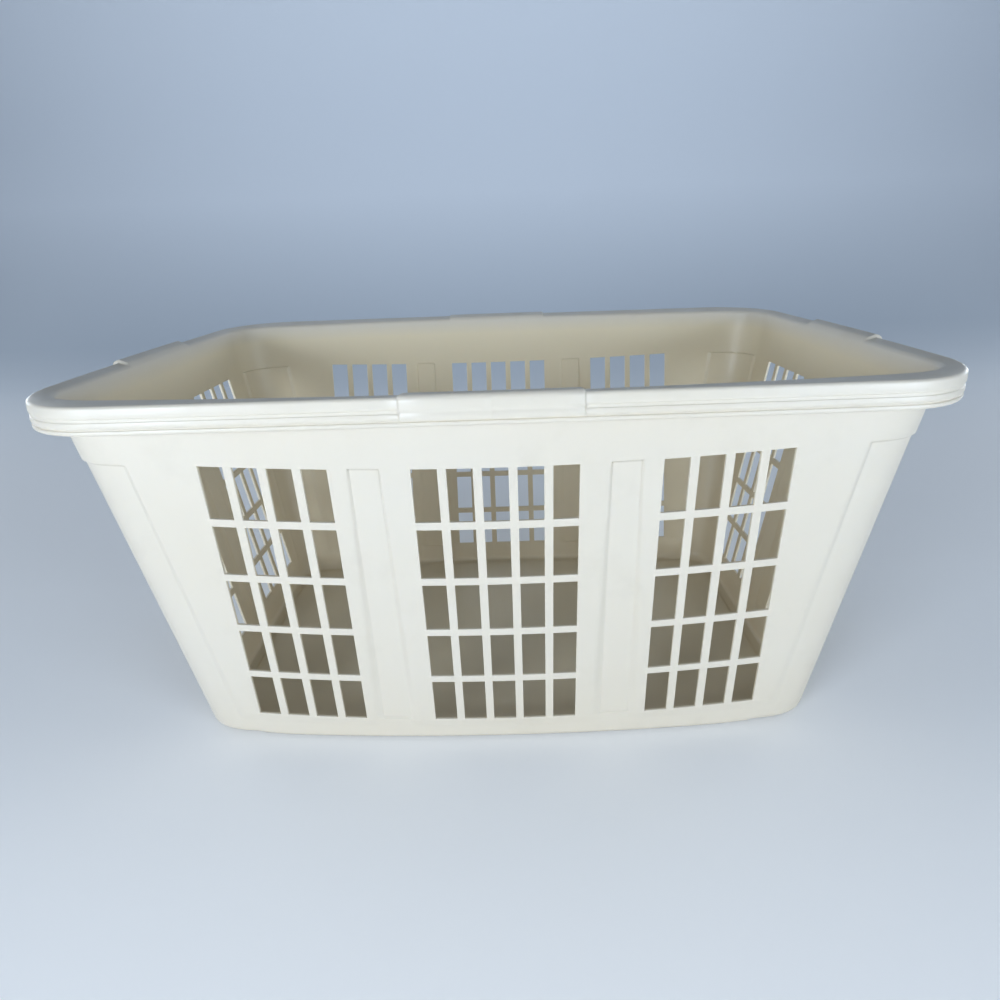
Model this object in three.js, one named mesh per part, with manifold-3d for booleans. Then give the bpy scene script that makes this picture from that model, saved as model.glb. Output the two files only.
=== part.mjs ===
// Rectangular laundry basket, moulded in one piece from almond-white plastic.
// Millimetres, +Z up, origin at the middle of the underside, +X along the length.
// The real basket is a single moulding. Here it is divided at its own creases
// into a floor, window panels, fluted corners, and a rim of stretches, corners
// and hand grips, with a hairline between neighbours.
import * as THREE from 'three';
import { mergeVertices } from 'three/addons/utils/BufferGeometryUtils.js';
import Module from 'manifold-3d';

const wasm = await Module();
wasm.setup();

// ---- driving dimensions -------------------------------------------------
const height = 275.5;           // floor to the top of the plain rim
const shell = 2.2;             // wall thickness
const floorThickness = 2.6;
const seam = 0.3;              // hairline between neighbouring pieces

// Outer faces of the walls at the floor, and how far they lean out per mm.
const baseHalfLength = 236.1;
const endLean = 0.15;
const baseHalfWidth = 151.5;
const sideLean = 0.129;

// Each long wall is three flats: the outer two turn back a little.
const flatHalf = 89;           // half-width of the middle flat
const flatTurn = 0.08;         // setback per mm beyond it

// Rounded corners grow towards the rim.
const baseCorner = 40.5;
const cornerGrowth = 0.044;
const cornerSteps = 6;
const cornerRecess = 1.5;      // depth of the flute round each corner
const cornerHandle = 0.56;     // pull of the corner curve's two handles
const fluteFoot = 6;           // from the foot's rounding up to the flute

// Foot of the wall: a rounded edge between floor and wall.
const footRadius = 5;
const footTurns = [0, 30, 60, 90].map((degrees) => THREE.MathUtils.degToRad(degrees));

// Windows
const windowWidth = 15.9;
const windowHeight = 36.8;
const windowBar = 5.4;
const windowRows = 5;
const windowTop = 231.5;       // top edge of the highest row at a wall's ends
const rowDroop = 4.4;          // the rows hang lower in the middle of a wall
const droopReach = 180;
const columnSpread = 0.00013;  // columns part slightly on the way down, per mm
const stripWidth = 17.4;       // recessed upright strip between two groups
const stripMargin = { inner: 18.2, outer: 14.6, end: 16.4 };   // from a strip to the nearest window
const stripRecess = 1.3;
const cutReach = 12;           // how far a cutting block stands out of a wall

// Rim: a downward channel of a ledge and a skirt.
const rimHalfLength = 286;
const rimHalfWidth = 201;
const rimCorner = { along: 62, across: 66.7 };
const rimTurn = 0.012;         // as flatTurn, for the rim
const rimEdge = 3;             // bevel along the outer top edge
const skirtDrop = 17.8;
const skirtThickness = 2.0;
const ledgeThickness = 2.2;
const lipHeight = 7;           // height of the shoulder where wall turns into ledge
const shoulder = { drop: 2.4, run: 3.5 };
const underShoulder = { drop: 1.8, start: 1.4, run: 4.2 };
const underEdge = 2;           // bevel between the ledge's underside and the skirt
const ledgeWidth = 18;         // nominal, for the flat shape of a rim's end
const sideGripHalf = 50;
const endGripHalf = 51;
const gripRamp = 4;            // length over which a grip rises
const sideGripRise = { up: 1.3, out: 1.5 };
const endGripRise = { up: 2.2, out: 3.5 };

// ---- plan of the walls at a height --------------------------------------
const halfLengthAt = (z) => baseHalfLength + endLean * z;
const halfWidthAt = (z) => baseHalfWidth + sideLean * z;
const cornerAt = (z) => ({
  along: baseCorner + cornerGrowth * z,
  across: baseCorner + cornerGrowth * z,
});
const sideDepth = (x, halfWidth, turn) => halfWidth - turn * Math.max(0, Math.abs(x) - flatHalf);

const wallPlan = (z) => ({
  halfLength: halfLengthAt(z),
  halfWidth: halfWidthAt(z),
  corner: cornerAt(z),
  turn: flatTurn,
});
const rimPlan = () => ({
  halfLength: rimHalfLength,
  halfWidth: rimHalfWidth,
  corner: rimCorner,
  turn: rimTurn,
});

// A plan's quarter at +X +Y is a long side, a corner and half an end.
// Stations along it return a point and its outward direction.
function sideStation(plan, share) {
  const x = share * (plan.halfLength - plan.corner.along);
  const y = sideDepth(x, plan.halfWidth, plan.turn);
  const past = Math.abs(x) - flatHalf;
  const bend = Math.abs(past) < 1 ? plan.turn / 2 : (past > 0 ? plan.turn : 0);
  return { point: new THREE.Vector2(x, y), out: new THREE.Vector2(bend * Math.sign(x), 1).normalize() };
}

function endStation(plan, share) {
  const y = share * (plan.halfWidth - plan.corner.across);
  return { point: new THREE.Vector2(plan.halfLength, y), out: new THREE.Vector2(1, 0) };
}

function cornerStation(plan, share) {
  const start = sideStation(plan, 1);
  const finish = endStation(plan, 1);
  const along = new THREE.Vector2(start.out.y, -start.out.x);
  const curve = new THREE.CubicBezierCurve(
    start.point,
    start.point.clone().addScaledVector(along, plan.corner.along * cornerHandle),
    finish.point.clone().add(new THREE.Vector2(0, plan.corner.across * cornerHandle)),
    finish.point,
  );
  const tangent = curve.getTangent(share);
  return { point: curve.getPoint(share), out: new THREE.Vector2(-tangent.y, tangent.x) };
}

// ---- closed meshes ------------------------------------------------------
function meshFrom(points, faces) {
  const geometry = new THREE.BufferGeometry().setFromPoints(points);
  geometry.setIndex(faces.flat());
  return geometry;
}

// Joins a row of like sections, each a closed loop of points, into one body.
// The section's own flat shape, in depth and height, gives the end caps.
function loft(sections, flat) {
  const count = flat.length;
  const faces = [];
  for (let i = 0; i + 1 < sections.length; i += 1) {
    for (let j = 0; j < count; j += 1) {
      const next = (j + 1) % count;
      const [a, b] = [i * count + j, i * count + next];
      faces.push([a, a + count, b], [b, a + count, b + count]);
    }
  }
  const last = (sections.length - 1) * count;
  const backwards = THREE.ShapeUtils.isClockWise(flat);
  for (const [a, b, c] of THREE.ShapeUtils.triangulateShape(flat, [])) {
    const [p, q] = backwards ? [c, b] : [b, c];
    faces.push([a, p, q], [last + a, last + q, last + p]);
  }
  return outward(meshFrom(sections.flat(), faces));
}

// Turns a closed mesh's faces outward by the sign of its volume.
function outward(geometry) {
  const index = geometry.getIndex().array;
  const position = geometry.getAttribute('position');
  const [a, b, c] = [new THREE.Vector3(), new THREE.Vector3(), new THREE.Vector3()];
  let volume = 0;
  for (let i = 0; i < index.length; i += 3) {
    a.fromBufferAttribute(position, index[i]);
    b.fromBufferAttribute(position, index[i + 1]);
    c.fromBufferAttribute(position, index[i + 2]);
    volume += a.dot(b.cross(c));
  }
  if (volume < 0) {
    for (let i = 0; i < index.length; i += 3) {
      [index[i], index[i + 1]] = [index[i + 1], index[i]];
    }
  }
  return geometry;
}

// A block with six faces between two ranges of each of a wall's three measures.
function block(place, [u0, u1], [v0, v1], [d0, d1]) {
  const points = [d0, d1].flatMap((d) => [
    place(u0, v0, d), place(u1, v0, d), place(u1, v1, d), place(u0, v1, d),
  ]);
  const faces = [
    [0, 1, 2], [0, 2, 3], [4, 6, 5], [4, 7, 6], [0, 4, 5], [0, 5, 1],
    [1, 5, 6], [1, 6, 2], [2, 6, 7], [2, 7, 3], [3, 7, 4], [3, 4, 0],
  ];
  return outward(meshFrom(points, faces));
}

function toSolid(geometry) {
  const bare = geometry.clone();
  for (const name of Object.keys(bare.attributes)) {
    if (name !== 'position') bare.deleteAttribute(name);
  }
  const merged = mergeVertices(bare);
  return new wasm.Manifold(new wasm.Mesh({
    numProp: 3,
    vertProperties: new Float32Array(merged.getAttribute('position').array),
    triVerts: new Uint32Array(merged.getIndex().array),
  }));
}

function toGeometry(solid) {
  const { vertProperties, triVerts } = solid.getMesh();
  const geometry = new THREE.BufferGeometry();
  geometry.setAttribute('position', new THREE.BufferAttribute(new Float32Array(vertProperties), 3));
  geometry.setIndex(new THREE.BufferAttribute(new Uint32Array(triVerts), 1));
  return geometry;
}

// ---- materials ----------------------------------------------------------
const plasticFinish = { color: 0xece7d9, roughness: 0.42, metalness: 0 };
const plastic = () => new THREE.MeshStandardMaterial(plasticFinish);

const basket = new THREE.Group();

// Adds a shape made in the +X +Y quarter's terms, mirrored where asked.
function addPiece(name, geometry, flipX = false, flipY = false) {
  const placed = geometry.clone();
  placed.scale(flipX ? -1 : 1, flipY ? -1 : 1, 1);
  outward(placed);
  placed.computeVertexNormals();
  const mesh = new THREE.Mesh(placed, plastic());
  mesh.name = name;
  basket.add(mesh);
}

// ---- walls --------------------------------------------------------------
// A wall's section: depth from the outer face (positive outward) against height.
// The foot curls in under the wall and ends on a level with the floor plate.
function wallSection(topHeight, recess) {
  const outer = footTurns.map((turn) => ({
    depth: -footRadius * (1 - Math.sin(turn)),
    z: footRadius * (1 - Math.cos(turn)),
  }));
  const inner = footTurns.map((turn) => ({
    depth: -footRadius + (footRadius - shell) * Math.sin(turn),
    z: footRadius - (footRadius - shell) * Math.cos(turn),
  })).reverse();
  const ledge = windowTop + recess / 2;
  if (!recess) return [...outer, { depth: 0, z: topHeight }, { depth: -shell, z: topHeight }, ...inner];
  const floorOfFlute = outer.at(-1).z + fluteFoot;
  return [
    ...outer,
    { depth: -recess, z: floorOfFlute },
    { depth: -recess, z: ledge - recess },
    { depth: 0, z: ledge },
    { depth: 0, z: topHeight },
    { depth: -shell, z: topHeight },
    { depth: -shell, z: ledge },
    { depth: -shell - recess, z: ledge - recess },
    { depth: -shell - recess, z: floorOfFlute },
    ...inner,
  ];
}

const toFlat = (section) => section.map(({ depth, z }) => new THREE.Vector2(depth, z));

// Builds one wall or corner from stations, keeping half a seam at each end.
function wallPiece(stationAt, shares, section) {
  const sections = shares.map((share, i) => section.map(({ depth, z }) => {
    const { point, out } = stationAt(wallPlan(z), share);
    const along = new THREE.Vector2(out.y, -out.x);
    const inset = i === 0 ? seam / 2 : (i === shares.length - 1 ? -seam / 2 : 0);
    const at = point.clone().addScaledVector(out, depth).addScaledVector(along, inset);
    return new THREE.Vector3(at.x, at.y, z);
  }));
  return loft(sections, toFlat(section));
}

const wallTop = height - lipHeight - seam;
const plainSection = wallSection(wallTop, 0);
const flutedSection = wallSection(wallTop, cornerRecess);

// A long wall's flats meet at a fixed place, and end where the corner starts.
const sideSpan = (plan) => plan.halfLength - plan.corner.along;
const atFlatEdge = (plan, way) => sideStation(plan, (way * flatHalf) / sideSpan(plan));
const outerStation = (plan, share) => (share === 0 ? atFlatEdge(plan, 1) : sideStation(plan, 1));

// Places on a wall, from a place along it, a height and a depth outward.
const sideTilt = Math.hypot(1, sideLean);
const endTilt = Math.hypot(1, endLean);
const spreadAt = (z) => 1 + columnSpread * (windowTop - z);
const droopAt = (along, reach) => rowDroop * Math.max(0, 1 - (along / reach) ** 2);

function onLongWall(along, level, depth) {
  const x = along * spreadAt(level);
  const z = level - droopAt(along, droopReach);
  const y = sideDepth(x, halfWidthAt(z), flatTurn);
  return new THREE.Vector3(x, y + depth / sideTilt, z - (depth * sideLean) / sideTilt);
}

function onEndWall(along, level, depth) {
  return new THREE.Vector3(
    halfLengthAt(level) + depth / endTilt, along * spreadAt(level), level - (depth * endLean) / endTilt,
  );
}

const groupWidth = (columns) => columns * windowWidth + (columns - 1) * windowBar;
const columnStarts = (from, columns) => (
  Array.from({ length: columns }, (_, i) => from + i * (windowWidth + windowBar))
);
const rowTops = Array.from({ length: windowRows }, (_, i) => windowTop - i * (windowHeight + windowBar));
const windowFoot = rowTops.at(-1) - windowHeight;

// Cuts the windows and presses the upright strips into a wall.
function pierce(wall, place, starts, strips) {
  let solid = toSolid(wall);
  for (const middle of strips) {
    const span = [middle - stripWidth / 2, middle + stripWidth / 2];
    const rise = [windowFoot, windowTop];
    solid = solid.add(toSolid(block(place, span, rise, [-shell - stripRecess, -shell / 2])));
    solid = solid.subtract(toSolid(block(place, span, rise, [-stripRecess, cutReach])));
  }
  for (const start of starts) {
    for (const top of rowTops) {
      const span = [start, start + windowWidth];
      const hole = block(place, span, [top - windowHeight, top], [-cutReach, cutReach]);
      solid = solid.subtract(toSolid(hole));
    }
  }
  return toGeometry(solid);
}

const middleGroup = columnStarts(-groupWidth(5) / 2, 5);
const stripMiddle = groupWidth(5) / 2 + stripMargin.inner + stripWidth / 2;
const outerGroup = columnStarts(stripMiddle + stripWidth / 2 + stripMargin.outer, 4);
const mirrored = (starts) => starts.map((start) => -start - windowWidth);
const endGroup = columnStarts(stripWidth / 2 + stripMargin.end, 4);
const endStarts = [...mirrored(endGroup), ...endGroup];

const middlePanel = pierce(
  wallPiece(atFlatEdge, [-1, 1], plainSection), onLongWall, middleGroup, [-stripMiddle, stripMiddle],
);
const outerPanel = pierce(wallPiece(outerStation, [0, 1], plainSection), onLongWall, outerGroup, []);
const endWall = pierce(
  wallPiece((plan, share) => endStation(plan, -share), [-1, 1], plainSection),
  onEndWall, endStarts, [0],
);
const cornerShares = Array.from({ length: cornerSteps + 1 }, (_, i) => i / cornerSteps);
const cornerPost = wallPiece(cornerStation, cornerShares, flutedSection);

addPiece('wall_right', endWall);
addPiece('wall_left', endWall, true);
for (const [side, flipY] of [['front', true], ['back', false]]) {
  addPiece(`wall_${side}_middle`, middlePanel, false, flipY);
  for (const [hand, flipX] of [['left', true], ['right', false]]) {
    addPiece(`wall_${side}_${hand}`, outerPanel, flipX, flipY);
    addPiece(`corner_${side}_${hand}`, cornerPost, flipX, flipY);
  }
}

// ---- floor --------------------------------------------------------------
// A flat plate whose edge follows the inner ends of the walls' feet.
const quarterStations = [
  (plan) => atFlatEdge(plan, 1),
  ...cornerShares.map((share) => (plan) => cornerStation(plan, share)),
];
const quarterEdge = quarterStations.map((stationAt) => {
  const { point, out } = stationAt(wallPlan(0));
  return point.addScaledVector(out, -footRadius - seam);
});
const floorEdge = [
  ...quarterEdge,
  ...quarterEdge.map(({ x, y }) => new THREE.Vector2(x, -y)).reverse(),
  ...quarterEdge.map(({ x, y }) => new THREE.Vector2(-x, -y)),
  ...quarterEdge.map(({ x, y }) => new THREE.Vector2(-x, y)).reverse(),
];
const floorPlate = new THREE.ExtrudeGeometry(new THREE.Shape(floorEdge), {
  depth: floorThickness, bevelEnabled: false, steps: 1,
});
addPiece('floor', toGeometry(toSolid(floorPlate)));

// ---- rim ----------------------------------------------------------------
// Each point of the rim's section hangs off the wall's plan or the rim's own.
function rimSection({ up, out }) {
  const top = height + up;
  const skirtFoot = height - skirtDrop;
  const under = height - ledgeThickness;
  return [
    { plan: 'wall', depth: -shell, z: height - lipHeight },
    { plan: 'wall', depth: -shell / 2, z: top - shoulder.drop },
    { plan: 'wall', depth: shoulder.run, z: top },
    { plan: 'rim', depth: out - rimEdge, z: top },
    { plan: 'rim', depth: out, z: top - rimEdge },
    { plan: 'rim', depth: out, z: skirtFoot },
    { plan: 'rim', depth: -skirtThickness, z: skirtFoot },
    { plan: 'rim', depth: -skirtThickness, z: under - underEdge },
    { plan: 'rim', depth: -skirtThickness - underEdge, z: under },
    { plan: 'wall', depth: underShoulder.run, z: under },
    { plan: 'wall', depth: underShoulder.start, z: under - underShoulder.drop },
    { plan: 'wall', depth: 0, z: height - lipHeight },
  ];
}
const flatRim = rimSection({ up: 0, out: 0 }).map(({ plan, depth, z }) => (
  new THREE.Vector2(plan === 'rim' ? ledgeWidth + depth : depth, z)
));

// Each stop is a place along the run, the grip's rise there, and a trim for the seam.
function rimPiece(stationAt, stops) {
  const sections = stops.map(({ at, rise, trim = 0 }) => rimSection(rise).map(({ plan, depth, z }) => {
    const { point, out } = stationAt(plan === 'rim' ? rimPlan() : wallPlan(z), at);
    const along = new THREE.Vector2(out.y, -out.x);
    const moved = point.clone().addScaledVector(out, depth).addScaledVector(along, trim);
    return new THREE.Vector3(moved.x, moved.y, z);
  }));
  return loft(sections, flatRim);
}

// Along a side or an end the place is a distance from the middle, so that wall
// and rim keep step, and anything further than the corner's start stops there.
const endSpan = (plan) => plan.halfWidth - plan.corner.across;
const alongSide = (plan, at) => sideStation(plan, Math.min(at / sideSpan(plan), 1));
const alongEnd = (plan, at) => endStation(plan, Math.min(at / endSpan(plan), 1));

const level = { up: 0, out: 0 };
const gripStops = (half, rise) => [
  { at: -half, rise: level, trim: seam / 2 },
  { at: -half + gripRamp, rise },
  { at: half - gripRamp, rise },
  { at: half, rise: level, trim: -seam / 2 },
];

const sideStretch = rimPiece(alongSide, [
  { at: sideGripHalf, rise: level, trim: seam / 2 },
  { at: flatHalf, rise: level },
  { at: Infinity, rise: level, trim: -seam / 2 },
]);
const endStretch = rimPiece(alongEnd, [
  { at: Infinity, rise: level, trim: seam / 2 },
  { at: endGripHalf, rise: level, trim: -seam / 2 },
]);
const cornerRim = rimPiece(cornerStation, cornerShares.map((share, i) => ({
  at: share, rise: level, trim: i === 0 ? seam / 2 : (i === cornerSteps ? -seam / 2 : 0),
})));
const sideGrip = rimPiece(alongSide, gripStops(sideGripHalf, sideGripRise));
const endGrip = rimPiece((plan, at) => alongEnd(plan, -at), gripStops(endGripHalf, endGripRise));

addPiece('grip_front', sideGrip, false, true);
addPiece('grip_back', sideGrip);
addPiece('grip_right', endGrip);
addPiece('grip_left', endGrip, true);
for (const [side, flipY] of [['front', true], ['back', false]]) {
  for (const [hand, flipX] of [['left', true], ['right', false]]) {
    addPiece(`rim_${side}_${hand}`, sideStretch, flipX, flipY);
    addPiece(`rim_${hand}_${side}`, endStretch, flipX, flipY);
    addPiece(`rim_corner_${side}_${hand}`, cornerRim, flipX, flipY);
  }
}

export default basket;
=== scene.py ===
import bpy, bmesh
from math import cos, hypot, radians, sin
from mathutils import Matrix, Vector


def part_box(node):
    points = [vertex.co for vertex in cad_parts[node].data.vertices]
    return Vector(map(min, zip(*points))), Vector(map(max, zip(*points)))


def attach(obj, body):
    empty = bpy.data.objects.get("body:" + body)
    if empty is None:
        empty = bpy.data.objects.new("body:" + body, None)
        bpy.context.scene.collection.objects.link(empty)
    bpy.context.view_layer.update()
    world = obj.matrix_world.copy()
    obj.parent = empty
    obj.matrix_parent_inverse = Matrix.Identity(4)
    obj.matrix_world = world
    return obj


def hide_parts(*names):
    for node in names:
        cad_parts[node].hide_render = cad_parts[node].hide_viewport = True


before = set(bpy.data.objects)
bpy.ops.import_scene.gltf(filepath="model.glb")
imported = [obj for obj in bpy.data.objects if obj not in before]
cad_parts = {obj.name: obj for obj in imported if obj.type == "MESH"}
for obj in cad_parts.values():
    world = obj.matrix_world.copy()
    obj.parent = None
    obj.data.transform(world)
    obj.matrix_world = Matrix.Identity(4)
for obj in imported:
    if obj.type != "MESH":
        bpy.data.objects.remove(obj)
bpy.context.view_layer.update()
mm = 0.001

# what the frame says, in millimetres
def highCorner(node):
    return Vector(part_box(node)[1]) / mm

rimHigh = highCorner("rim_right_front")
sideHigh = highCorner("rim_back_right")

basket = dict(
    height=rimHigh.z, wall=2.2,
    baseLength=236.1, endLean=0.15, baseWidth=151.5, sideLean=0.129,
    sideBow=0.00024, endBow=0.00010,          # setback = bow * distance squared
    corner=40.5, cornerGrowth=0.044, cornerPull=0.56,
    foot=5.0, cornerFoot=9.5,                 # radius under the walls and under the corners
    footSide=150.0, footEnd=70.0, footRun=64.0,   # a wall's foot grows from here, over this length
    floorLift=1.2, floorInset=20.0,
    recessTop=1.5, fluteTop=1.7, recessFoot=3.4, plinth=1.2,
)
windows = dict(
    wide=15.9, tall=36.8, bar=5.4, rows=5, top=231.5, droop=4.4, reach=180.0, spread=0.00013,
    strip=17.4, inner=19.6, outer=13.2, endMargin=16.4,
    soften=0.45, droopTop=258.0, droopFade=26.0, droopFoot=9.0,
)
panels = dict(
    foot=16.5, cornerRadius=8.0, rampTop=1.1, rampFoot=9.0, fluteRamp=3.2, ledge=0.7,
    sideBorder=228.5, endBorder=141.0, arc=75.0,  # arc is the way round a corner
    fluteFoot=9.0, fluteFade=12.0,
)
rim = dict(
    length=rimHigh.x, width=sideHigh.y, along=62.0, across=66.7, sideBow=0.000033, endBow=0.00011,
    lip=4.6, edge=2.2, innerEdge=1.1, fall=1.4, skirt=2.1, hem=16.2,
)
grips = dict(
    side=51.5, end=51.0, ramp=1.7, sideUp=1.3, sideOut=1.5, endUp=2.1, endOut=3.3,
    grooveLost=0.7, witness=0.12, witnessHalf=0.6,      # the mould's witness line crosses the front grip
)

# plan of the basket at a height
def wallPlan(z):
    corner = basket["corner"] + basket["cornerGrowth"] * z
    return dict(
        length=basket["baseLength"] + basket["endLean"] * z,
        width=basket["baseWidth"] + basket["sideLean"] * z,
        along=corner, across=corner, sideBow=basket["sideBow"], endBow=basket["endBow"],
    )

def onSide(plan, x):
    point = Vector((x, plan["width"] - plan["sideBow"] * x * x))
    return point, Vector((2 * plan["sideBow"] * x, 1)).normalized()

def onEnd(plan, y):
    point = Vector((plan["length"] - plan["endBow"] * y * y, y))
    return point, Vector((1, 2 * plan["endBow"] * y)).normalized()

def onCorner(plan, share):
    start, startOut = onSide(plan, plan["length"] - plan["along"])
    finish, finishOut = onEnd(plan, plan["width"] - plan["across"])
    pull = basket["cornerPull"]
    a = start + Vector((startOut.y, -startOut.x)) * plan["along"] * pull
    b = finish + Vector((-finishOut.y, finishOut.x)) * plan["across"] * pull
    t, s = share, 1 - share
    point = start * s**3 + a * 3 * s * s * t + b * 3 * s * t * t + finish * t**3
    way = (a - start) * s * s + (b - a) * 2 * s * t + (finish - b) * t * t
    return point, Vector((-way.y, way.x)).normalized()

# the lines that cross at windows, panel borders and grips
def groupEdges(start, count):
    step = windows["wide"] + windows["bar"]
    return [start + i * step + extra for i in range(count) for extra in (0, windows["wide"])]

half = windows["wide"] / 2
middleEdges = [half] + groupEdges(half + windows["bar"], 2)
stripStart = middleEdges[-1] + windows["inner"]
stripEnd = stripStart + windows["strip"]
outerEdges = groupEdges(stripEnd + windows["outer"], 4)
endStrip = windows["strip"] / 2
endEdges = groupEdges(endStrip + windows["endMargin"], 4)
fullPlan = wallPlan(windows["top"])
sideReach, endReach = fullPlan["length"] - fullPlan["along"], fullPlan["width"] - fullPlan["across"]
nearBorder = [-1.0, 0.0, 0.5, 1.1, 1.8, 2.8, 4.2, 6.0, 8.0, 10.2]   # how far inside a panel's border

def gripLines(reach):
    return [reach - grips["ramp"] * share for share in (1.0, 0.66, 0.33, 0.0)]

# a few lines more carry the bow and the foot between the features
sideLines = sorted(
    [0.0, 0.5, 1.0] + middleEdges + outerEdges + gripLines(grips["side"])
    + [stripStart - d for d in nearBorder] + [stripEnd + d for d in nearBorder]
    + [(stripStart + stripEnd) / 2 + d for d in (-4.5, 0, 4.5)]
    + [186.0, 192.0, 199.0, 206.0, 213.0]
)
endLines = sorted(
    [0.0, 5.0] + endEdges + gripLines(grips["end"])
    + [endStrip + d for d in nearBorder]
    + [109.0, 114.0, 120.0, 126.0]
)
borderShares = [(panels["sideBorder"] - sideReach - d) / panels["arc"] for d in nearBorder]
borderShares += [1 - (panels["endBorder"] - endReach - d) / panels["arc"] for d in nearBorder]
cornerShares = sorted(
    [share for share in borderShares if 0.01 < share < 0.99]
    + [i / 16 for i in range(3, 14)] + [0.0, 1.0]
)
quarter = [("side", x) for x in sideLines]
quarter += [("corner", share) for share in cornerShares]
quarter += [("end", y) for y in reversed(endLines)]

# The loop runs back, right, front, left. Each line keeps the signs of its quarter.
columns = [(kind, at, 1, 1) for kind, at in quarter]
columns += [(kind, at, 1, -1) for kind, at in reversed(quarter[:-1])]
columns += [(kind, at, -1, -1) for kind, at in quarter[1:]]
columns += [(kind, at, -1, 1) for kind, at in reversed(quarter[1:-1])]

rowStep = windows["tall"] + windows["bar"]
rowEdges = sorted(
    windows["top"] - i * rowStep - drop
    for i in range(windows["rows"]) for drop in (0, windows["tall"])
)
windowFoot = rowEdges[0]

# relief of the walls
def ease(x):
    x = min(max(x, 0.0), 1.0)
    return x * x * (3 - 2 * x)

def panelDistance(kind, at, level):
    # below zero on a raised panel, above zero in a strip, a flute or the plinth
    if kind == "corner":
        across = min(
            sideReach + at * panels["arc"] - panels["sideBorder"],
            endReach + (1 - at) * panels["arc"] - panels["endBorder"],
        )
    elif kind == "side":
        inner = at - stripStart if at < (stripStart + stripEnd) / 2 else stripEnd - at
        across = max(inner, at - panels["sideBorder"])
    else:
        across = max(endStrip - at, at - panels["endBorder"])
    radius = panels["cornerRadius"]
    qx, qy = across + radius, panels["foot"] - level + radius
    return hypot(max(qx, 0), max(qy, 0)) + min(max(qx, qy), 0) - radius

def relief(kind, at, level):
    if level > windows["top"] + 0.01:
        return 0.0
    share = min(max((windows["top"] - level) / (windows["top"] - windowFoot), 0), 1)
    strip = (kind == "side" and at < outerEdges[0]) or (kind == "end" and at < endEdges[0])
    shallow = basket["recessTop"] if strip else basket["fluteTop"]
    deep = shallow + (basket["recessFoot" if strip else "plinth"] - shallow) * share
    crisp = panels["rampTop"] if strip else panels["fluteRamp"]
    width = crisp + (panels["rampFoot"] - crisp) * share
    # strips and flutes end above the plinth, which is nearly flush with the panels
    start, fade = (windowFoot - 0.6, 1.2) if strip else (panels["fluteFoot"], panels["fluteFade"])
    deep = basket["plinth"] + (deep - basket["plinth"]) * ease((level - start) / fade)
    return -deep * ease(panelDistance(kind, at, level) / width + 1)

def droopAt(kind, at, level):
    if kind != "side":
        return 0.0
    fade = ease((level - basket["foot"]) / windows["droopFoot"])
    fade *= ease((windows["droopTop"] - level) / windows["droopFade"])
    return windows["droop"] * max(0.0, 1 - (at / windows["reach"]) ** 2) * fade

# a place on the moulding
def planPoint(kind, at, z, onRim):
    plan = rim if onRim else wallPlan(z)
    if kind == "corner":
        return onCorner(plan, at)
    if kind == "end":
        inner, outer = endEdges[-1], windows["top"]
        span, full = plan["width"] - plan["across"], wallPlan(windows["top"])
        reference = full["width"] - full["across"]
    else:
        inner = outerEdges[-1]
        span, full = plan["length"] - plan["along"], wallPlan(windows["top"])
        reference = full["length"] - full["along"]
    spread = 1.0 if onRim else 1 + windows["spread"] * (windows["top"] - z)
    if at <= inner:
        place = at * spread
    else:
        place = inner * spread + (at - inner) * (span - inner * spread) / (reference - inner)
    return onEnd(plan, place) if kind == "end" else onSide(plan, place)

def footAt(kind, at):
    share = 1.0
    if kind != "corner":
        start = basket["footSide"] if kind == "side" else basket["footEnd"]
        share = ease((at - start) / basket["footRun"])
    return basket["foot"] + (basket["cornerFoot"] - basket["foot"]) * share

def rowPlace(column, onRim, depth, z, level=None, shrink=1.0):
    kind, at, signX, signY = column
    if level is not None:
        depth += relief(kind, at, level)
        z -= droopAt(kind, at, level)
    point, out = planPoint(kind, at, z, onRim)
    point = (point + out * depth) * shrink
    return Vector((point.x * signX, point.y * signY, z)) * mm

# Each row is two ends of a thickness: the outside of the wall and the inside.
# On the rim the "outside" is the hidden underside, and the "inside" shows.
def footRows():
    rows = []
    thick, inset, up = basket["wall"], basket["floorInset"], basket["floorLift"]
    for shrink in (0.0, 0.3, 0.55, 0.8):
        rows.append(dict(shrink=shrink, outer=(-inset, up), inner=(-inset, up + thick)))
    for reach, lift in ((inset, up), (15.4, up), (14.0, 0.9), (12.9, 0.2), (12.0, 0.0)):
        rows.append(dict(outer=(-reach, lift), inner=(-reach, lift + thick)))
    for degrees in (0, 15, 30, 45, 60, 75, 90):
        rows.append(dict(turn=radians(degrees)))
    return rows

def wallRows():
    low = [7.0, 9.0, 11.0, 12.6, 13.8, 14.6, 15.2, 16.0, 17.0, 18.2, 19.8, 21.6, 23.4, 24.6]
    ledge = [windows["top"] + step for step in (-1.3, -0.6, panels["ledge"], 2.2)]
    collar = [234.0, 240.0, 246.0, 252.0, 258.0]
    levels = sorted(low + rowEdges + ledge + collar)
    return [dict(outer=(0, z), inner=(-basket["wall"], z), level=z) for z in levels]

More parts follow.
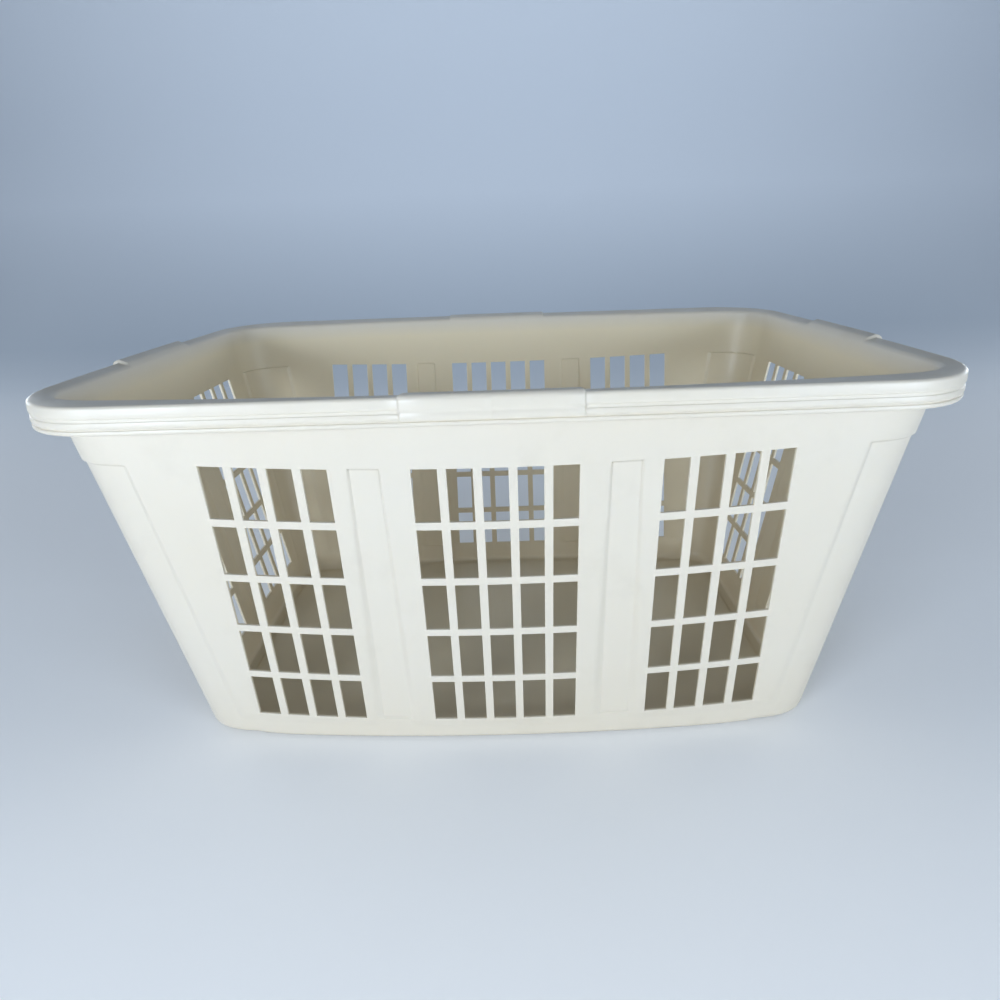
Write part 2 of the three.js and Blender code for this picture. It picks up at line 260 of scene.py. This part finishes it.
# A lip curls out from the wall, a ledge crosses to the skirt, and the skirt drops.
def rimRows():
    rows = []
    thick, top = basket["wall"], basket["height"]
    lip, edge, under = rim["lip"], rim["edge"], rim["innerEdge"]
    for degrees in (0, 15, 30, 45, 60, 75, 90):
        b = radians(degrees)
        rise = top - lip + (lip - rim["fall"]) * sin(b)
        rows.append(dict(
            outer=(lip - thick - (lip - thick) * cos(b), rise - thick * sin(b)),
            inner=(lip - thick - lip * cos(b), rise),
            up=sin(b) ** 2, out=0.0,
        ))
    for degrees in (0, 18, 36, 54, 72, 90):
        c = radians(degrees)
        rows.append(dict(
            rim=True, outer=(-edge + under * sin(c), top - edge + under * cos(c)),
            inner=(-edge + edge * sin(c), top - edge + edge * cos(c)),
            up=cos(c), out=sin(c),
        ))
    # face of the skirt: depth, drop below the top, and how much a grip lifts it
    face = [
        (0.15, 4.6, 1), (0.2, 5.8, 1), (0.05, 6.8, 1), (-0.5, 7.3, 1), (-0.6, 8.2, 1), (-0.5, 9.0, 1),
        (0.0, 9.4, 1), (0.22, 10.8, 1), (0.15, 12.2, 1), (-0.1, 12.8, 0.9), (-0.95, 13.3, 0.1),
        (-0.95, 13.8, 0), (-0.1, 14.2, 0), (0.15, 15.0, 0), (-0.05, 16.0, 0), (-0.6, 16.6, 0),
        (-1.2, 16.8, 0),
    ]
    for depth, drop, lift in face:
        rows.append(dict(
            rim=True, outer=(-rim["skirt"], top - min(drop, rim["hem"])), inner=(depth, top - drop),
            up=0.0, out=lift, groove=depth if lift == 1 else 0.0,
        ))
    return rows

lowTop = 21.0                             # below this, rows squeeze over a corner's rounder foot
rows = footRows() + wallRows() + rimRows()

def gripShare(kind, at):
    if kind == "corner":
        return 0.0
    reach = grips["side"] if kind == "side" else grips["end"]
    return ease((reach - at) / grips["ramp"])

def placeVertex(column, row, inside):
    kind, at, signX, signY = column
    if "turn" in row:
        foot, a = footAt(kind, at), row["turn"]
        radius = foot - basket["wall"] if inside else foot
        z = foot - radius * cos(a)
        return rowPlace(column, False, -foot + radius * sin(a), z, z)
    depth, z = row["inner" if inside else "outer"]
    if row.get("level", lowTop) < lowTop:
        share = (row["level"] - basket["foot"]) / (lowTop - basket["foot"])
        z = footAt(kind, at) + share * (lowTop - footAt(kind, at))
        return rowPlace(column, False, depth, z, z)
    if "up" in row and inside:
        share = gripShare(kind, at)
        key = "side" if kind == "side" else "end"
        z += grips[key + "Up"] * row["up"] * share
        depth += grips[key + "Out"] * row["out"] * share
        depth -= row.get("groove", 0.0) * grips["grooveLost"] * share
        front = kind == "side" and signY < 0
        if row.get("rim") and front and at < grips["witnessHalf"] and row["out"] > 0.9:
            depth += grips["witness"]
    onRim, shrink = row.get("rim", False), row.get("shrink", 1.0)
    return rowPlace(column, onRim, depth, z, row.get("level"), shrink)

def creaseShadeAt(column, row):
    # painted shade: the corner under the collar, over a strip or a flute, is darkened to stand in for
    # contact shadow
    below = windows["top"] - row.get("level", 0)
    if below < 0 or below > 0.65:
        return 0.0
    depth = -relief(column[0], column[1], windows["top"])
    return min(depth / basket["recessTop"], 1.0) * (0.6 if below else 1.0)

# the moulding itself
def isWindow(column, nextColumn, row, nextRow):
    if column[0] == "corner" or nextColumn[0] != column[0]:
        return False
    if "level" not in row or "level" not in nextRow:
        return False
    middle = (row["level"] + nextRow["level"]) / 2
    steps = (windows["top"] - middle) / rowStep
    onBar = (steps % 1) * rowStep > windows["tall"]
    if middle > windows["top"] or steps > windows["rows"] or onBar:
        return False
    at = (column[1] + nextColumn[1]) / 2
    edges = [-half] + middleEdges + outerEdges if column[0] == "side" else endEdges
    return any(edges[i] < at < edges[i + 1] for i in range(0, len(edges), 2))

def makeMoulding():
    count, height = len(columns), len(rows) - 1
    bm = bmesh.new()
    bmesh.ops.create_grid(bm, x_segments=count, y_segments=height, size=0.5)
    bmesh.ops.translate(bm, verts=bm.verts, vec=(0.5, 0.5, 0))
    bmesh.ops.scale(bm, verts=bm.verts, vec=(count, height, 1))

    def cell(face):
        middle = face.calc_center_median()
        return int(middle.x), int(middle.y)

    openings = []
    for face in bm.faces:
        i, j = cell(face)
        if isWindow(columns[i], columns[(i + 1) % count], rows[j], rows[j + 1]):
            openings.append(face)
    bmesh.ops.delete(bm, geom=openings, context="FACES")
    bmesh.ops.solidify(bm, geom=bm.faces[:] + bm.edges[:] + bm.verts[:], thickness=1.0)
    levels = sorted({round(v.co.z) for v in bm.verts})
    # the strip that closes the loop and the one that closes the floor are open
    ends = [
        f for f in bm.faces
        if all(round(v.co.x) == 0 for v in f.verts) or all(round(v.co.x) == count for v in f.verts)
        or all(round(v.co.y) == 0 for v in f.verts)
    ]
    bmesh.ops.delete(bm, geom=ends, context="FACES")
    print("lattice", len(bm.verts), "levels", levels)

    bm.verts.ensure_lookup_table()
    innerFace = bm.verts.layers.float.new("inner_face")
    # this attribute carries the painted shade under the collar
    crease_shade = bm.verts.layers.float.new("crease_shade")
    for v in bm.verts:
        column, row = columns[round(v.co.x) % count], rows[round(v.co.y)]
        inside = round(v.co.z) == levels[-1]
        v[innerFace] = 1.0 if inside and "rim" not in row and "up" not in row else 0.0
        v[crease_shade] = creaseShadeAt(column, row)
        v.co = placeVertex(column, row, inside)
    bmesh.ops.remove_doubles(bm, verts=bm.verts, dist=0.00001)
    bmesh.ops.recalc_face_normals(bm, faces=bm.faces)

    # soften the windows' edges
    sharp = [
        e for e in bm.edges
        if len(e.link_faces) == 2 and e.calc_face_angle(0) > radians(60)
        and 13 * mm < e.verts[0].co.z < (windows["top"] + 3) * mm
    ]
    bmesh.ops.bevel(
        bm, geom=sharp, offset=windows["soften"] * mm, offset_type="OFFSET", affect="EDGES",
        segments=2, profile=0.5, material=-1, clamp_overlap=True,
    )
    mesh = bpy.data.meshes.new("basket_moulding")
    bm.to_mesh(mesh)
    print("open edges", sum(1 for e in bm.edges if not e.is_manifold), "faces", len(bm.faces))
    bm.free()
    for polygon in mesh.polygons:
        polygon.use_smooth = True
    mesh.set_sharp_from_angle(angle=radians(38))
    piece = bpy.data.objects.new("basket_moulding", mesh)
    bpy.context.collection.objects.link(piece)
    return piece

# shader maths
class Wire:
    def __init__(self, paint, socket):
        self.paint, self.socket = paint, socket

    def sum(self, operation, first, second):
        return self.paint.node("ShaderNodeMath", dict(operation=operation), {0: first, 1: second})

    def __add__(self, other): return self.sum("ADD", self, other)
    def __radd__(self, other): return self.sum("ADD", other, self)
    def __mul__(self, other): return self.sum("MULTIPLY", self, other)
    def __rmul__(self, other): return self.sum("MULTIPLY", other, self)

class Paint:
    def __init__(self, name):
        self.material = bpy.data.materials.new(name)
        self.material.use_nodes = True
        self.tree = self.material.node_tree
        self.surface = self.tree.nodes["Principled BSDF"]

    def node(self, kind, settings, inputs, output=0):
        made = self.tree.nodes.new(kind)
        for key, value in settings.items():
            setattr(made, key, value)
        for key, value in inputs.items():
            self.join(made.inputs[key], value)
        return Wire(self, made.outputs[output])

    def join(self, socket, value):
        if isinstance(value, Wire):
            self.tree.links.new(value.socket, socket)
        else:
            socket.default_value = value

    def set(self, **values):
        for key, value in values.items():
            self.join(self.surface.inputs[key.replace("_", " ")], value)

    def noise(self, where, scale, detail=3.0, rough=0.5):
        return self.node("ShaderNodeTexNoise", {}, {
            "Vector": where, "Scale": scale, "Detail": detail, "Roughness": rough,
        }, "Fac")

    def remap(self, value, low, high, toLow=0.0, toHigh=1.0):
        return self.node("ShaderNodeMapRange", dict(clamp=True), {
            "Value": value, "From Min": low, "From Max": high, "To Min": toLow, "To Max": toHigh,
        })

    def mixColour(self, share, first, second):
        return self.node("ShaderNodeMix", dict(data_type="RGBA"), {0: share, 6: first, 7: second}, 2)

# almond plastic
almond = dict(
    # the dark colour serves real dust patches and painted shade
    body=(0.69, 0.63, 0.53, 1), warm=(0.66, 0.575, 0.435, 1), grimeAndShade=(0.40, 0.34, 0.25, 1),
    # painted light: inner faces get a warmer colour, standing in for light that soaks through the thin
    # walls and bounces inside, and a darker one low down as painted shade
    paintedInnerLight=(0.80, 0.695, 0.495, 1), paintedInnerShade=(0.66, 0.56, 0.39, 1),
    broad=5.0, patch=26.0, peelScale=240.0, grainScale=2400.0,      # sizes of the noise, per metre
    # the crease darkening is painted shade standing in for contact shadow
    warmShare=0.35, lowShare=0.3, dust=0.10, creaseShade=0.55,
    # the foot darkening is painted shadow standing in for contact shadow on the floor
    footShadow=0.5, footShadowTop=0.0045,
    rough=0.40, roughSwing=0.10, scuff=0.12, scuffDepth=-0.01, under=0.10, peel=0.012, grain=0.002,
)

def almondPlastic():
    paint = Paint("almond_plastic")
    where = paint.node("ShaderNodeTexCoord", {}, {}, "Object")
    above = paint.node("ShaderNodeSeparateXYZ", {}, {0: where}, "Z")
    broad = paint.noise(where, almond["broad"], 2.0)
    patch = paint.noise(where, almond["patch"], 4.0, 0.6)
    peel = paint.noise(where, almond["peelScale"], 2.0)
    grain = paint.noise(where, almond["grainScale"], 2.0)
    stretched = paint.node("ShaderNodeMapping", {}, {
        "Vector": where, "Rotation": (0.3, 0.2, 0.5), "Scale": (14, 420, 180),
    })
    scuffs = paint.remap(paint.noise(stretched, 1.0, 3.0, 0.65), 0.66, 0.76)
    height = paint.remap(above, 0.0, basket["height"] * mm)
    tint = paint.remap(broad, 0.3, 0.7, 0.0, almond["warmShare"])
    tint = tint + paint.remap(height, 0.25, 0.0, 0.0, almond["lowShare"])
    colour = paint.mixColour(tint, almond["body"], almond["warm"])
    dust = paint.remap(patch, 0.56, 0.78, 0.0, almond["dust"])
    colour = paint.mixColour(dust, colour, almond["grimeAndShade"])
    # painted shadow: the foot darkens within 4.5 mm of the floor
    footShadow = paint.remap(above, almond["footShadowTop"], 0.0, 0.0, almond["footShadow"])
    colour = paint.mixColour(footShadow, colour, almond["grimeAndShade"])
    # painted shade: the attribute darkens the creases under the collar
    crease_shade = paint.node("ShaderNodeAttribute", dict(attribute_name="crease_shade"), {}, "Fac")
    colour = paint.mixColour(crease_shade * almond["creaseShade"], colour, almond["grimeAndShade"])
    # painted light and shade: inner faces take the warm inner colour, darker towards the floor
    innerFace = paint.node("ShaderNodeAttribute", dict(attribute_name="inner_face"), {}, "Fac")
    paintedInnerLight = paint.mixColour(height, almond["paintedInnerShade"], almond["paintedInnerLight"])
    colour = paint.mixColour(innerFace, colour, paintedInnerLight)
    swing = paint.remap(patch, 0.3, 0.7, -1.0, 1.0) * almond["roughSwing"]
    rough = almond["rough"] + swing + scuffs * almond["scuff"]
    texture = peel * almond["peel"] + grain * almond["grain"] + scuffs * almond["scuffDepth"]
    bump = paint.node("ShaderNodeBump", {}, {"Height": texture, "Strength": 0.35, "Distance": 0.01})
    paint.set(Base_Color=colour, Roughness=rough, Normal=bump)
    paint.surface.inputs["IOR"].default_value = 1.49
    paint.surface.inputs["Subsurface Weight"].default_value = almond["under"]
    paint.surface.inputs["Subsurface Radius"].default_value = (1.0, 0.8, 0.5)
    paint.surface.inputs["Subsurface Scale"].default_value = 0.004
    return paint.material

moulding = makeMoulding()
moulding.data.materials.append(almondPlastic())
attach(moulding, "root")
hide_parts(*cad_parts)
print("moulding", len(moulding.data.polygons), "faces")

# stage, lights and camera
stage = dict(
    colour=(0.58, 0.63, 0.70, 1), lowColour=(0.36, 0.41, 0.47, 1), floorColour=(0.93, 0.93, 0.93, 1),
    wide=40.0, front=-20.0, back=1.15, bend=0.8, tall=7.0, sky=(0.72, 0.84, 1.0, 1), skyStrength=0.20,
)

def makeStage():
    bm = bmesh.new()
    start = bm.verts.new((-stage["wide"], stage["front"], 0))
    line = [start]
    middle = Vector((-stage["wide"], stage["back"], stage["bend"]))
    for step in range(13):
        a = radians(90 * step / 12)
        line.append(bm.verts.new(middle + Vector((0, sin(a), -cos(a))) * stage["bend"]))
    line.append(bm.verts.new((-stage["wide"], stage["back"] + stage["bend"], stage["tall"])))
    edges = [bm.edges.new((line[i], line[i + 1])) for i in range(len(line) - 1)]
    made = bmesh.ops.extrude_edge_only(bm, edges=edges)["geom"]
    moved = [v for v in made if isinstance(v, bmesh.types.BMVert)]
    bmesh.ops.translate(bm, verts=moved, vec=(2 * stage["wide"], 0, 0))
    bmesh.ops.recalc_face_normals(bm, faces=bm.faces)
    mesh = bpy.data.meshes.new("backdrop")
    bm.to_mesh(mesh)
    bm.free()
    for polygon in mesh.polygons:
        polygon.use_smooth = True
    sheet = bpy.data.objects.new("backdrop", mesh)
    bpy.context.collection.objects.link(sheet)
    paint = Paint("backdrop_paper")
    where = paint.node("ShaderNodeTexCoord", {}, {}, "Object")
    deep = paint.node("ShaderNodeSeparateXYZ", {}, {0: where}, "Y")
    share = paint.remap(deep, 0.1, 1.5)
    high = paint.node("ShaderNodeSeparateXYZ", {}, {0: where}, "Z")
    colour = paint.mixColour(paint.remap(high, 0.5, 0.0), stage["colour"], stage["lowColour"])
    paint.set(Base_Color=paint.mixColour(share, stage["floorColour"], colour), Roughness=0.9)
    sheet.data.materials.append(paint.material)

cool = (0.86, 0.93, 1.0)
rear = dict(name="rear_fill", aim=(0.0, 0.0, 0.14), size=(1.2, 0.5), watts=4.2, colour=cool, spread=100)
lamps = [
    dict(
        name="front_key", place=(-1.00, -1.38, 0.44), aim=(0.0, 0.0, 0.14),
        size=(0.6, 0.5), watts=18.5, colour=(0.76, 0.865, 1.0),
    ),
    dict(
        name="right_fill", place=(1.2, -1.3, 0.40), aim=(0.1, 0.0, 0.14),
        size=(0.8, 0.5), watts=15, colour=(0.73, 0.85, 1.0),
    ),
    dict(place=(-2.1, 1.5, 0.45), **rear),
    dict(place=(2.1, 1.5, 0.45), **rear),
    dict(
        name="floor_wash", place=(0.0, -1.15, 1.5), aim=(0.0, -1.1, 0.0),
        size=(1.6, 0.3), watts=5, colour=(0.90, 0.95, 1.0), spread=70,
    ),
    dict(
        name="backdrop_wash", place=(0.0, 0.55, 1.7), aim=(0.0, 1.9, 0.75),
        size=(3.4, 1.0), watts=15, colour=cool, spread=150,
    ),
]

def addLight(name, place, aim, size, watts, colour, spread=180):
    data = bpy.data.lights.new(name, "AREA")
    data.shape = "RECTANGLE"
    data.size, data.size_y = size
    data.energy = watts
    data.color = colour
    data.spread = radians(spread)
    lamp = bpy.data.objects.new(name, data)
    lamp.location = place
    lamp.rotation_euler = (Vector(aim) - Vector(place)).to_track_quat("-Z", "Y").to_euler()
    bpy.context.collection.objects.link(lamp)

view = dict(
    place=(0.00815, -0.55237, 0.35367), turn=0.90, down=21.6, roll=-2.085, focal=0.66205, film=36.0,
)

def addCamera():
    data = bpy.data.cameras.new("camera")
    data.sensor_width = view["film"]
    data.lens = view["focal"] * view["film"]
    data.clip_start = 0.01
    camera = bpy.data.objects.new("camera", data)
    turn = Matrix.Rotation(radians(view["turn"]), 4, "Z")
    tilt = Matrix.Rotation(radians(90 - view["down"]), 4, "X")
    roll = Matrix.Rotation(radians(view["roll"]), 4, "Z")
    camera.matrix_world = Matrix.Translation(view["place"]) @ turn @ tilt @ roll
    bpy.context.collection.objects.link(camera)
    bpy.context.scene.camera = camera

makeStage()
for lamp in lamps:
    addLight(**lamp)
world = bpy.data.worlds.new("studio")
world.use_nodes = True
world.node_tree.nodes["Background"].inputs["Color"].default_value = stage["sky"]
world.node_tree.nodes["Background"].inputs["Strength"].default_value = stage["skyStrength"]
bpy.context.scene.world = world
bpy.context.scene.view_settings.view_transform = "Standard"
addCamera()
print("stage, lights and camera")
